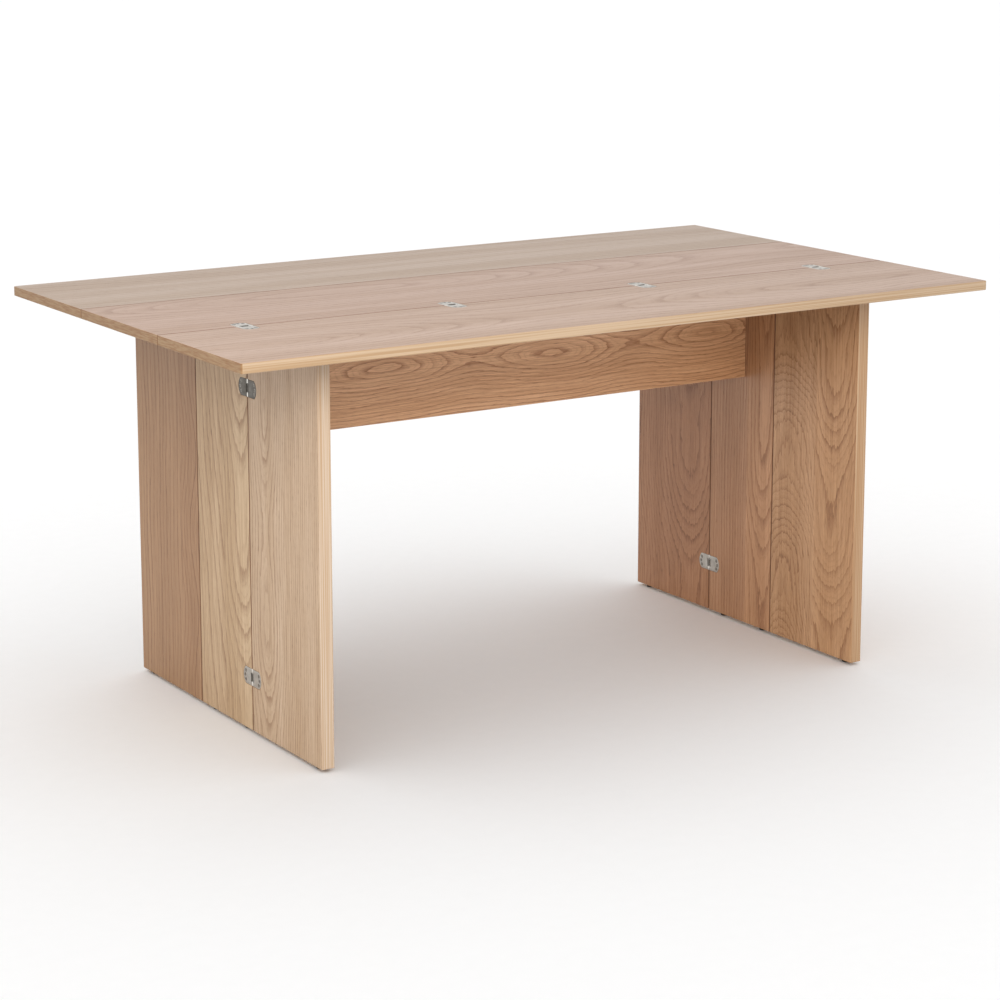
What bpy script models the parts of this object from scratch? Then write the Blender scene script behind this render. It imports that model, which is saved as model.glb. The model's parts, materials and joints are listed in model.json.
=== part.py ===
"""Folding drop leaf table: a three board top on two three section panel legs.

The middle board, the middle section of each leg and the apron make a narrow fixed stand. The front
leaf turns up and over the middle board, the front leg sections turn out and back against the outer
faces, and the rear leg sections turn in behind the apron. Every fold runs on flush hinges, each with
two plates and a link that turns on one pin in either plate. The rear leaf has the same hinges on its
underside, each of them one solid here.

Metres, +Z up, +X to the right along the table's length, -Y towards the front. The origin is on the
floor under the middle of the top.
"""

import math

import bmesh
import bpy
from mathutils import Matrix, Vector

# The top
TOP_LENGTH = 1.600
TOP_WIDTH = 0.940
TOP_HEIGHT = 0.760
TOP_THICKNESS = 0.018
TOP_SEAM_Y = 0.1585  # the seams lie this far to the front and to the rear of the middle
TOP_CORNER_RADIUS = 0.004

# The legs and the apron
LEG_SPAN = 1.204  # over the outer faces of the two legs
LEG_THICKNESS = 0.025
LEG_DEPTH = 0.720
LEG_SEAM_Y = 0.103
APRON_THICKNESS = 0.018
APRON_HEIGHT = 0.222

# What all boards share
SEAM_GAP = 0.0012
ARRIS_RADIUS = 0.0012
ARRIS_SEGMENTS = 2
FIXED_GAP = 0.0003  # between pieces that are fastened together
SLIDING_GAP = 0.0006  # between a turning leg section and the top over it

# The flush hinges, in each hinge's own frame: U across the seam, V along it, W out of the face
HINGE_HALF_LENGTH = 0.034
HINGE_WIDTH = 0.032
HINGE_END_BULGE = 0.008
PLATE_THICKNESS = 0.006
PLATE_RECESS = 0.00005
PLATE_SEAM_BEVEL = 0.0012
MORTISE_CLEARANCE = 0.0003
LINK_LENGTH_ALONG_SEAM = 0.016
LINK_ROUND_RADIUS = 0.0020
PIN_RADIUS = 0.0012
PIN_HOLE_RADIUS = 0.0014
PIN_FROM_SEAM = 0.0030
PIN_DEPTH = 0.0024
PIN_REACH = 0.0033  # how far each pin runs past the link into a plate's cheek
LINK_CLEARANCE = 0.0004
END_ARC_STEPS = 8
PIN_SIDES = 12

TOP_HINGES_X = (-0.633, -0.211, 0.211, 0.633)
LEG_HINGES_Z = (("top", 0.638), ("bottom", 0.106))

# The glides under the legs
GLIDE_RADIUS = 0.007
GLIDE_HEIGHT = 0.006
GLIDE_EDGE_RADIUS = 0.0015
GLIDE_STEM_RADIUS = 0.003
GLIDE_STEM_LENGTH = 0.014
GLIDE_FROM_END = 0.030
CENTRE_GLIDE_Y = 0.065  # to the front and to the rear of the middle
GLIDE_SIDES = 16

# The angle brackets under the middle board, behind the apron
BRACKET_LEG = 0.040
BRACKET_LENGTH = 0.060
BRACKET_THICKNESS = 0.003
BRACKET_BEHIND_APRON = 0.010

UNDERSIDE_Z = TOP_HEIGHT - TOP_THICKNESS
LEG_OUTER_X = LEG_SPAN / 2
LEG_INNER_X = LEG_OUTER_X - LEG_THICKNESS
SIDES = (("left", -1), ("right", 1))

# name: (colour, roughness, metallic)
FINISHES = {
    "oak_top": ((0.60, 0.45, 0.34), 0.55, 0.0),
    "oak_leg": ((0.50, 0.35, 0.24), 0.55, 0.0),
    "oak_apron": ((0.42, 0.25, 0.15), 0.55, 0.0),
    "zinc": ((0.62, 0.61, 0.58), 0.35, 1.0),
    "black_plastic": ((0.02, 0.02, 0.02), 0.50, 0.0),
    "plated_steel": ((0.66, 0.66, 0.67), 0.30, 1.0),
}


def clear_scene():
    for obj in list(bpy.data.objects):
        bpy.data.objects.remove(obj, do_unlink=True)


def new_collection(name, parent, helper=False):
    made = bpy.data.collections.new(name)
    parent.children.link(made)
    made.hide_render = helper
    return made


def finish(obj, name):
    """Gives obj a material of its own in the named finish."""
    colour, roughness, metallic = FINISHES[name]
    material = bpy.data.materials.new(f"{obj.name}_{name}")
    material.use_nodes = True
    shader = material.node_tree.nodes["Principled BSDF"]
    shader.inputs["Base Color"].default_value = (*colour, 1.0)
    shader.inputs["Roughness"].default_value = roughness
    shader.inputs["Metallic"].default_value = metallic
    obj.material_slots[0].link = "OBJECT"
    obj.material_slots[0].material = material


def add_object(name, mesh, collection, placed=None, finish_name=None):
    obj = bpy.data.objects.new(name, mesh)
    collection.objects.link(obj)
    obj.matrix_world = placed or Matrix.Identity(4)
    if finish_name:
        if not mesh.materials:
            mesh.materials.append(None)
        finish(obj, finish_name)
    else:
        obj.hide_render = True
        obj.display_type = "WIRE"
    return obj


def mesh_from(name, bm):
    mesh = bpy.data.meshes.new(name)
    bm.to_mesh(mesh)
    bm.free()
    return mesh


def box_bmesh(low, high):
    bm = bmesh.new()
    bmesh.ops.create_cube(bm, size=1.0)
    low, high = Vector(low), Vector(high)
    size = high - low
    place = Matrix.Translation((low + high) / 2) @ Matrix.Diagonal((*size, 1.0))
    bmesh.ops.transform(bm, matrix=place, verts=bm.verts)
    return bm


def cylinder_bmesh(radius, low, high, sides):
    """A cylinder along Z."""
    bm = bmesh.new()
    middle = Matrix.Translation((0, 0, (low + high) / 2))
    bmesh.ops.create_cone(
        bm, cap_ends=True, segments=sides, radius1=radius, radius2=radius, depth=high - low, matrix=middle
    )
    return bm


def prism_mesh(name, outline, low, high):
    """The closed outline in the XY plane, solid from height low to height high."""
    curve = bpy.data.curves.new(name, "CURVE")
    curve.dimensions = "2D"
    curve.fill_mode = "BOTH"
    curve.extrude = (high - low) / 2
    spline = curve.splines.new("POLY")
    spline.points.add(len(outline) - 1)
    for point, (x, y) in zip(spline.points, outline):
        point.co = (x, y, 0, 1)
    spline.use_cyclic_u = True
    guide = bpy.data.objects.new(name, curve)
    bpy.context.scene.collection.objects.link(guide)
    graph = bpy.context.evaluated_depsgraph_get()
    mesh = bpy.data.meshes.new_from_object(guide.evaluated_get(graph))
    bpy.data.objects.remove(guide)
    bm = bmesh.new()
    bm.from_mesh(mesh)
    bpy.data.meshes.remove(mesh)
    bmesh.ops.remove_doubles(bm, verts=bm.verts, dist=1e-6)
    bmesh.ops.translate(bm, vec=(0, 0, (low + high) / 2), verts=bm.verts)
    bmesh.ops.recalc_face_normals(bm, faces=bm.faces)
    return mesh_from(name, bm)


def boolean(obj, operation, operand):
    """Adds an exact Boolean of obj with an object or with every object of a collection."""
    modifier = obj.modifiers.new(f"{operation.lower()} {operand.name}", "BOOLEAN")
    modifier.operation = operation
    modifier.solver = "EXACT"
    if isinstance(operand, bpy.types.Collection):
        modifier.operand_type = "COLLECTION"
        modifier.collection = operand
    else:
        modifier.object = operand


def applied_mesh(obj, name):
    """The evaluated mesh of obj, which is removed."""
    bpy.context.view_layer.update()
    graph = bpy.context.evaluated_depsgraph_get()
    mesh = bpy.data.meshes.new_from_object(obj.evaluated_get(graph))
    mesh.name = name
    bpy.data.objects.remove(obj)
    return mesh


def ease_arrises(obj):
    """Rounds every sharp edge of a board a little."""
    bevel = obj.modifiers.new("eased arrises", "BEVEL")
    bevel.width = ARRIS_RADIUS
    bevel.segments = ARRIS_SEGMENTS
    bevel.limit_method = "ANGLE"
    bevel.angle_limit = math.radians(60)


def add_board(name, low, high, parts, finish_name, round_corners=()):
    """A board between two corners. round_corners are the (x, y) signs of upright edges to round."""
    bm = box_bmesh(low, high)
    corners = [
        (high[0] if x > 0 else low[0], high[1] if y > 0 else low[1]) for x, y in round_corners
    ]
    edges = [
        edge
        for edge in bm.edges
        if any(all((vert.co.xy - Vector(corner)).length < 1e-6 for vert in edge.verts) for corner in corners)
    ]
    if edges:
        bmesh.ops.bevel(
            bm, geom=edges, offset=TOP_CORNER_RADIUS, segments=4, profile=0.5, affect="EDGES"
        )
    board = add_object(name, mesh_from(name, bm), parts, finish_name=finish_name)
    ease_arrises(board)
    return board


def hinge_outline(half_length, width, near_seam=None):
    """One plate's outline, or both plates' in one if near_seam is None: straight sides, bowed ends."""
    half_width = width / 2
    end_radius = (half_width**2 + HINGE_END_BULGE**2) / (2 * HINGE_END_BULGE)
    sweep = math.asin(half_width / end_radius)
    turns = [sweep * (2 * step / END_ARC_STEPS - 1) for step in range(END_ARC_STEPS + 1)]
    centre = half_length - end_radius
    bowed_end = [(centre + end_radius * math.cos(t), end_radius * math.sin(t)) for t in turns]
    if near_seam is None:
        return bowed_end + [(-u, -v) for u, v in bowed_end]
    return bowed_end + [(near_seam, half_width), (near_seam, -half_width)]


def along_seam(radius, low, high, u):
    """A cylinder along V at the pins' depth, u from the seam."""
    bm = cylinder_bmesh(radius, low, high, PIN_SIDES)
    turned = Matrix.Rotation(math.radians(-90), 4, "X")
    bmesh.ops.transform(bm, matrix=Matrix.Translation((u, 0, -PIN_DEPTH)) @ turned, verts=bm.verts)
    return bm


def seam_bevel():
    """A square bar on its edge that takes the bevel off a plate's upper edge at the seam."""
    side = PLATE_SEAM_BEVEL * math.sqrt(2)
    bm = box_bmesh((-side / 2, -HINGE_WIDTH, -side / 2), (side / 2, HINGE_WIDTH, side / 2))
    on_edge = Matrix.Rotation(math.radians(45), 4, "Y")
    place = Matrix.Translation((SEAM_GAP / 2, 0, -PLATE_RECESS)) @ on_edge
    bmesh.ops.transform(bm, matrix=place, verts=bm.verts)
    return bm


def make_plate_mesh(cutters):
    """A hinge plate on the +U side, with the link's pocket and a pin hole in each cheek."""
    outline = hinge_outline(HINGE_HALF_LENGTH, HINGE_WIDTH, near_seam=SEAM_GAP / 2)
    blank = prism_mesh("plate_blank", outline, -PLATE_THICKNESS, -PLATE_RECESS)
    plate = bpy.data.objects.new("plate_blank", blank)
    bpy.context.scene.collection.objects.link(plate)
    reach = PIN_FROM_SEAM + LINK_ROUND_RADIUS + LINK_CLEARANCE
    half = LINK_LENGTH_ALONG_SEAM / 2 + LINK_CLEARANCE
    floor = PIN_DEPTH + LINK_ROUND_RADIUS + LINK_CLEARANCE
    pocket = box_bmesh((-reach, -half, -floor), (reach, half, PIN_DEPTH))
    holes_end = LINK_LENGTH_ALONG_SEAM / 2 + PIN_REACH + LINK_CLEARANCE
    holes = along_seam(PIN_HOLE_RADIUS, -holes_end, holes_end, PIN_FROM_SEAM)
    for name, cutter in (("link_pocket", pocket), ("pin_holes", holes), ("seam_bevel", seam_bevel())):
        boolean(plate, "DIFFERENCE", add_object(name, mesh_from(name, cutter), cutters))
    return applied_mesh(plate, "hinge_plate")


def make_link_mesh(cutters):
    """The link between the pins, round at both ends, with its two pins."""
    half = LINK_LENGTH_ALONG_SEAM / 2
    bar = box_bmesh(
        (-PIN_FROM_SEAM, -half, -PIN_DEPTH - LINK_ROUND_RADIUS),
        (PIN_FROM_SEAM, half, -PIN_DEPTH + LINK_ROUND_RADIUS),
    )
    link = bpy.data.objects.new("link_bar", mesh_from("link_bar", bar))
    bpy.context.scene.collection.objects.link(link)
    pin_end = half + PIN_REACH
    for side in (-1, 1):
        u = side * PIN_FROM_SEAM
        for name, radius, end in (("round", LINK_ROUND_RADIUS, half), ("pin", PIN_RADIUS, pin_end)):
            name = f"link_{name}_{side}"
            added = mesh_from(name, along_seam(radius, -end, end, u))
            boolean(link, "UNION", add_object(name, added, cutters))
    return applied_mesh(link, "hinge_link")


def seam_frame(origin, across, outward):
    """Where a hinge stands: its U is across, its W is outward and its V lies along the seam."""
    u, w = Vector(across), Vector(outward)
    v = w.cross(u)
    turned = Matrix((u, v, w)).transposed().to_4x4()
    return Matrix.Translation(Vector(origin)) @ turned


def top_seam(x, rear):
    """A hinge place on a top seam: on the top face at the front seam, underneath at the rear one."""
    if rear:
        return seam_frame((x, TOP_SEAM_Y, UNDERSIDE_Z), (0, 1, 0), (0, 0, -1))
    return seam_frame((x, -TOP_SEAM_Y, TOP_HEIGHT), (0, -1, 0), (0, 0, 1))


def leg_seam(side, z, rear):
    """A hinge place on a leg seam: on the outer face at the front seam, inside at the rear one."""
    if rear:
        return seam_frame((side * LEG_INNER_X, LEG_SEAM_Y, z), (0, 1, 0), (-side, 0, 0))
    return seam_frame((side * LEG_OUTER_X, -LEG_SEAM_Y, z), (0, -1, 0), (side, 0, 0))


def hinge_places():
    """{seam name: [(hinge name, its frame)]} for the six hinged seams."""
    places = {
        "front_leaf": [(str(n), top_seam(x, rear=False)) for n, x in enumerate(TOP_HINGES_X, 1)],
        "rear_leaf": [(str(n), top_seam(x, rear=True)) for n, x in enumerate(TOP_HINGES_X, 1)],
    }
    for side_name, side in SIDES:
        for end_name, rear in (("front", False), ("rear", True)):
            places[f"{side_name}_{end_name}_leg"] = [
                (height, leg_seam(side, z, rear)) for height, z in LEG_HINGES_Z
            ]
    return places


def add_mortises(places, cutters):
    """{seam name: a collection of the recesses that its hinges sit in}."""
    outline = hinge_outline(
        HINGE_HALF_LENGTH + MORTISE_CLEARANCE, HINGE_WIDTH + 2 * MORTISE_CLEARANCE
    )
    mesh = prism_mesh("mortise", outline, -PLATE_THICKNESS - MORTISE_CLEARANCE, PLATE_THICKNESS)
    made = {}
    for seam, hinges in places.items():
        made[seam] = new_collection(f"{seam}_mortises", cutters, helper=True)
        for hinge, placed in hinges:
            add_object(f"{seam}_{hinge}_mortise", mesh, made[seam], placed)
    return made


def add_hinges(folds, parts, cutters):
    """The hinges of the seams that fold, each as two plates and a link."""
    plate, link = make_plate_mesh(cutters), make_link_mesh(cutters)
    half_turn = Matrix.Rotation(math.pi, 4, "Z")
    for seam, hinges in folds.items():
        for hinge, placed in hinges:
            name = f"{seam}_hinge_{hinge}"
            add_object(f"{name}_moving_plate", plate, parts, placed, "zinc")
            add_object(f"{name}_fixed_plate", plate, parts, placed @ half_turn, "zinc")
            add_object(f"{name}_link", link, parts, placed, "zinc")


def add_rear_leaf_hinges(hinges, parts):
    """The hinges under the rear seam, each with its plates and link as one solid."""
    outline = hinge_outline(HINGE_HALF_LENGTH, HINGE_WIDTH)
    mesh = prism_mesh("closed_hinge", outline, -PLATE_THICKNESS, -PLATE_RECESS)
    for hinge, placed in hinges:
        add_object(f"rear_leaf_hinge_{hinge}", mesh, parts, placed, "zinc")


def add_top(parts, mortises):
    half_length, half_width, half_gap = TOP_LENGTH / 2, TOP_WIDTH / 2, SEAM_GAP / 2
    spans = {
        "front_leaf": (-half_width, -TOP_SEAM_Y - half_gap),
        "centre_board": (-TOP_SEAM_Y + half_gap, TOP_SEAM_Y - half_gap),
        "rear_leaf": (TOP_SEAM_Y + half_gap, half_width),
    }
    rounded = {"front_leaf": ((-1, -1), (1, -1)), "rear_leaf": ((-1, 1), (1, 1))}
    cut_by = {"centre_board": ("front_leaf", "rear_leaf")}
    for name, (front, rear) in spans.items():
        low, high = (-half_length, front, UNDERSIDE_Z), (half_length, rear, TOP_HEIGHT)
        board = add_board(name, low, high, parts, "oak_top", rounded.get(name, ()))
        for seam in cut_by.get(name, (name,)):
            boolean(board, "DIFFERENCE", mortises[seam])


def leg_sections():
    """(section name, front Y, rear Y, gap under the top, glide places along Y) for one leg."""
    end = LEG_DEPTH / 2
    inner, outer = LEG_SEAM_Y - SEAM_GAP / 2, LEG_SEAM_Y + SEAM_GAP / 2
    centre_glides = {"centre_front": -CENTRE_GLIDE_Y, "centre_rear": CENTRE_GLIDE_Y}
    return (
        ("front", -end, -outer, SLIDING_GAP, {"front": -end + GLIDE_FROM_END}),
        ("centre", -inner, inner, FIXED_GAP, centre_glides),
        ("rear", outer, end, SLIDING_GAP, {"rear": end - GLIDE_FROM_END}),
    )


def glide_profile():
    """Radius and height down the outer side of a glide, from its stem's top to its foot."""
    foot, edge = GLIDE_RADIUS - GLIDE_EDGE_RADIUS, GLIDE_EDGE_RADIUS
    shoulder = GLIDE_HEIGHT - FIXED_GAP
    turns = [math.radians(30 * step) for step in range(4)]
    rounded = [(foot + edge * math.cos(t), edge - edge * math.sin(t)) for t in turns]
    stem_top = GLIDE_HEIGHT + GLIDE_STEM_LENGTH
    stem = [(0, stem_top), (GLIDE_STEM_RADIUS, stem_top), (GLIDE_STEM_RADIUS, shoulder)]
    return [*stem, (GLIDE_RADIUS, shoulder), *rounded, (0, 0)]


def make_glide_mesh():
    """A turned glide with a stem that is pressed up into the leg."""
    bm = bmesh.new()
    verts = [bm.verts.new((radius, 0, height)) for radius, height in glide_profile()]
    for above, below in zip(verts, verts[1:]):
        bm.edges.new((above, below))
    glide = bpy.data.objects.new("glide_profile", mesh_from("glide_profile", bm))
    bpy.context.scene.collection.objects.link(glide)
    screw = glide.modifiers.new("turned", "SCREW")
    screw.steps = screw.render_steps = GLIDE_SIDES
    screw.use_merge_vertices = True
    screw.merge_threshold = 1e-5
    return applied_mesh(glide, "glide")


def add_leg(side_name, side, parts, cutters, mortises, glide):
    inner, outer = sorted((side * LEG_INNER_X, side * LEG_OUTER_X))
    middle_x = (inner + outer) / 2
    for section, front, rear, gap, glides in leg_sections():
        low, high = (inner, front, GLIDE_HEIGHT), (outer, rear, UNDERSIDE_Z - gap)
        board = add_board(f"{side_name}_leg_{section}", low, high, parts, "oak_leg")
        for seam in ("front", "rear") if section == "centre" else (section,):
            boolean(board, "DIFFERENCE", mortises[f"{side_name}_{seam}_leg"])
        holes = new_collection(f"{side_name}_{section}_glide_holes", cutters, helper=True)
        for place, y in glides.items():
            placed = Matrix.Translation((middle_x, y, 0))
            hole_top = GLIDE_HEIGHT + GLIDE_STEM_LENGTH + FIXED_GAP
            hole = cylinder_bmesh(GLIDE_STEM_RADIUS + FIXED_GAP, -GLIDE_HEIGHT, hole_top, GLIDE_SIDES)
            name = f"{side_name}_glide_{place}"
            add_object(f"{name}_hole", mesh_from(f"{name}_hole", hole), holes, placed)
            add_object(name, glide, parts, placed, "black_plastic")
        boolean(board, "DIFFERENCE", holes)


def add_apron(parts):
    half_length, half_thickness = LEG_INNER_X - FIXED_GAP, APRON_THICKNESS / 2
    top = UNDERSIDE_Z - FIXED_GAP
    low = (-half_length, -half_thickness, UNDERSIDE_Z - APRON_HEIGHT)
    add_board("apron", low, (half_length, half_thickness, top), parts, "oak_apron")


def add_bracket(side_name, side, parts):
    """An angle bracket that ties the leg's middle section to the board over it, behind the apron."""
    reach, wall = BRACKET_LEG, BRACKET_THICKNESS
    outline = ((0, 0), (reach, 0), (reach, wall), (wall, wall), (wall, reach), (0, reach))
    mesh = prism_mesh(f"{side_name}_bracket", outline, 0, BRACKET_LENGTH)
    front = APRON_THICKNESS / 2 + BRACKET_BEHIND_APRON
    corner = (side * (LEG_INNER_X - FIXED_GAP), front, UNDERSIDE_Z - FIXED_GAP)
    inwards, down = Vector((-side, 0, 0)), Vector((0, 0, -1))
    along = inwards.cross(down)
    turned = Matrix((inwards, down, along)).transposed().to_4x4()
    start = Vector(corner) + Vector((0, BRACKET_LENGTH if along.y < 0 else 0, 0))
    add_object(f"{side_name}_bracket", mesh, parts, Matrix.Translation(start) @ turned, "plated_steel")


def carried_names(seam, hinges):
    """The names of the pieces that turn with the board beyond a seam."""
    plates = [f"{seam}_hinge_{hinge}_moving_plate" for hinge, _ in hinges]
    if seam == "front_leaf":
        return [seam, *plates]
    side, end, _ = seam.split("_")
    return [f"{side}_leg_{end}", f"{side}_glide_{end}", *plates]


def hang(obj, parent):
    """Parents obj and leaves it where it is."""
    obj.parent = parent
    obj.matrix_parent_inverse = parent.matrix_world.inverted()


def add_pivot(name, placed, piece_names, parts):
    """An empty on a pin line that carries the named pieces."""
    pivot = bpy.data.objects.new(name, None)
    parts.objects.link(pivot)
    pivot.matrix_world = placed
    bpy.context.view_layer.update()
    for piece_name in piece_names:
        hang(bpy.data.objects[piece_name], pivot)
    return pivot


def add_pivots(folds, parts):
    """Hangs each fold from its two pin lines: the links from one, and the turning board from the other."""
    for seam, hinges in folds.items():
        first_hinge = hinges[0][1]
        fixed_line = first_hinge @ Matrix.Translation((-PIN_FROM_SEAM, 0, -PIN_DEPTH))
        moving_line = first_hinge @ Matrix.Translation((PIN_FROM_SEAM, 0, -PIN_DEPTH))
        links = [f"{seam}_hinge_{hinge}_link" for hinge, _ in hinges]
        fixed_pin = add_pivot(f"{seam}_fixed_pin", fixed_line, links, parts)
        moving_pin = add_pivot(f"{seam}_moving_pin", moving_line, carried_names(seam, hinges), parts)
        hang(moving_pin, fixed_pin)


def shade_round_pieces(parts):
    round_pieces = [obj for obj in parts.objects if "_glide_" in obj.name or obj.name.endswith("_link")]
    for mesh in {obj.data for obj in round_pieces}:
        mesh.shade_smooth()
        mesh.set_sharp_from_angle(angle=math.radians(40))


def main():
    clear_scene()
    scene = bpy.context.scene.collection
    parts = new_collection("drop_leaf_table", scene)
    cutters = new_collection("cutters", scene, helper=True)
    places = hinge_places()
    mortises = add_mortises(places, cutters)
    add_top(parts, mortises)
    glide = make_glide_mesh()
    for side_name, side in SIDES:
        add_leg(side_name, side, parts, cutters, mortises, glide)
        add_bracket(side_name, side, parts)
    add_apron(parts)
    folds = {seam: hinges for seam, hinges in places.items() if seam != "rear_leaf"}
    add_hinges(folds, parts, cutters)
    add_rear_leaf_hinges(places["rear_leaf"], parts)
    add_pivots(folds, parts)
    shade_round_pieces(parts)


main()
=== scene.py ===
"""The looks of a folding drop leaf table in oak veneer: finishes, hinge hardware, glides, light and camera.

Metres, +Z up, +X along the table's length, -Y towards the front. Boards keep their solids from the frame
and get veneer. Hinges, glides and brackets are modelled again in finer detail where the frame has them.
"""

import json
import logging
import math
from collections.abc import Callable
from dataclasses import dataclass, field
from enum import Enum

import bmesh
import bpy
from mathutils import Matrix, Vector

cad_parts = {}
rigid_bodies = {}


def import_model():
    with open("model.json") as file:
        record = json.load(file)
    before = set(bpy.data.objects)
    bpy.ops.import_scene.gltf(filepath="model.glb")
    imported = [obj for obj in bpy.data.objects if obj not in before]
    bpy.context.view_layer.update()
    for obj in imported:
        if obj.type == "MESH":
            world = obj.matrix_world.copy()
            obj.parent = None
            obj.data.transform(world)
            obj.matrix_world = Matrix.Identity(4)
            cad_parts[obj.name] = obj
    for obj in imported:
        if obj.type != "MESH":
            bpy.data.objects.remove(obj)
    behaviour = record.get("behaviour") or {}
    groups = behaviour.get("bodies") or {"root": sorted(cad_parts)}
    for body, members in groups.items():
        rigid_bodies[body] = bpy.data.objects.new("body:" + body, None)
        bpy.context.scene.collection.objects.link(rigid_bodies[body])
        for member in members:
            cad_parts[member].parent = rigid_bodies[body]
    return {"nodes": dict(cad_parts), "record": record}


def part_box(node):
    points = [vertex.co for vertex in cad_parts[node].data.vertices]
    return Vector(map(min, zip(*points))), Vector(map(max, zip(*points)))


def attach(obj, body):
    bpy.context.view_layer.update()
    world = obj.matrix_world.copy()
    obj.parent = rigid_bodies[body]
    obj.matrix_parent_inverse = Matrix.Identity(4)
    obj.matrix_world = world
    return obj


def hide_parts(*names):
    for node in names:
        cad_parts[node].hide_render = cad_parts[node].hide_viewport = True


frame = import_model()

LOG = logging.getLogger("drop_leaf_table")
MM = 0.001
TOUCHING = 1e-6  # metres: two corners this close lie on the same plane
FACING = 0.99  # the share of a face's normal along an axis that it faces

Tree = bpy.types.NodeTree
Socket = bpy.types.NodeSocket
Colour = Socket | tuple
Inputs = tuple | list | dict


def linear(colour: str) -> tuple[float, float, float, float]:
    """Turns an sRGB hex colour to linear RGBA.

    Args:
        colour: six hex digits, such as "c8a882".

    Returns:
        Red, green, blue and an alpha of 1, as a shader socket takes them.
    """
    channels = [int(colour[i : i + 2], 16) / 255 for i in (0, 2, 4)]
    return (*(c / 12.92 if c <= 0.04045 else ((c + 0.055) / 1.055) ** 2.4 for c in channels), 1.0)


def add_node(tree: Tree, kind: str, inputs: Inputs = (), output: int | str = 0, **settings) -> Socket:
    """Adds a node with its settings, values and links.

    Args:
        tree: the material's node tree.
        kind: the node's type.
        inputs: values or sockets, in order or keyed by socket name or number.
        output: the name or number of the output that is wanted.
        **settings: the node's own properties.

    Returns:
        The wanted output socket.
    """
    made = tree.nodes.new(kind)
    for name, value in settings.items():
        setattr(made, name, value)
    for key, value in inputs.items() if isinstance(inputs, dict) else enumerate(inputs):
        if isinstance(value, Socket):
            tree.links.new(value, made.inputs[key])
        else:
            made.inputs[key].default_value = value
    return made.outputs[output]


def compute(tree: Tree, operation: str, *values: Socket | float, clamp: bool = False) -> Socket:
    """Adds a node of arithmetic.

    Args:
        tree: the material's node tree.
        operation: such as "ADD" or "MULTIPLY".
        *values: its operands.
        clamp: whether the result is kept from 0 to 1.

    Returns:
        The result.
    """
    return add_node(tree, "ShaderNodeMath", values, operation=operation, use_clamp=clamp)


def remap(tree: Tree, value: Socket, start: tuple, end: tuple, curve: str = "LINEAR") -> Socket:
    """Maps one range to another.

    Args:
        tree: the material's node tree.
        value: the value in the first range.
        start: the first range's ends.
        end: the second range's ends.
        curve: "LINEAR", or "SMOOTHSTEP" for an eased one.

    Returns:
        The value in the second range.
    """
    return add_node(tree, "ShaderNodeMapRange", (value, *start, *end), interpolation_type=curve)


def noise(tree: Tree, place: Socket, size_mm: float, detail: float) -> Socket:
    """Adds a cloudy noise, about 0.5 on average.

    Args:
        tree: the material's node tree.
        place: the place, in metres.
        size_mm: the size of its clouds.
        detail: how many finer layers it has.

    Returns:
        The noise.
    """
    inputs = {"Vector": place, "Scale": 1 / (size_mm * MM), "Detail": detail}
    return add_node(tree, "ShaderNodeTexNoise", inputs)


def blend(tree: Tree, share: Socket | float, first: Colour, second: Colour, mode: str = "MIX") -> Socket:
    """Mixes two colours.

    Args:
        tree: the material's node tree.
        share: how much of the second one shows, from 0 to 1.
        first: the first colour.
        second: the second colour.
        mode: "MIX", or "MULTIPLY" to lay the second over the first as a filter.

    Returns:
        The mixed colour.
    """
    inputs = {0: share, 6: first, 7: second}
    return add_node(tree, "ShaderNodeMix", inputs, output=2, data_type="RGBA", blend_type=mode)


def new_material(name: str) -> tuple[bpy.types.Material, Tree, bpy.types.Node]:
    """Makes a material with only its Principled shader and output.

    Args:
        name: the material's name.

    Returns:
        The material, its node tree and its Principled shader.
    """
    material = bpy.data.materials.new(name)
    material.use_nodes = True
    return material, material.node_tree, material.node_tree.nodes["Principled BSDF"]


class Cut(Enum):
    """How a board is cut: the frame's axes along its grain, across it and through its thickness."""

    TOP = ("X", "Y", "Z")
    LEG = ("Z", "Y", "X")
    APRON = ("X", "Z", "Y")


@dataclass(frozen=True)
class Strip:
    """A strip of veneer and its figure, as rings round a pith that ran behind it, in millimetres.

    Rings are widest over the pith and close up to either side. Where the pith comes near the sheet they
    close to ovals, and where it slopes away they draw out to cathedrals.
    """

    tone: str
    centre: float
    pith: float
    slope: float = 0.0
    swing: float = 0.0
    period: float = 900.0
    phase: float = 0.0
    ring: float = 10.0
    warp: float = 10.0
    jag: float = 2.0
    until: float = math.inf


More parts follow.
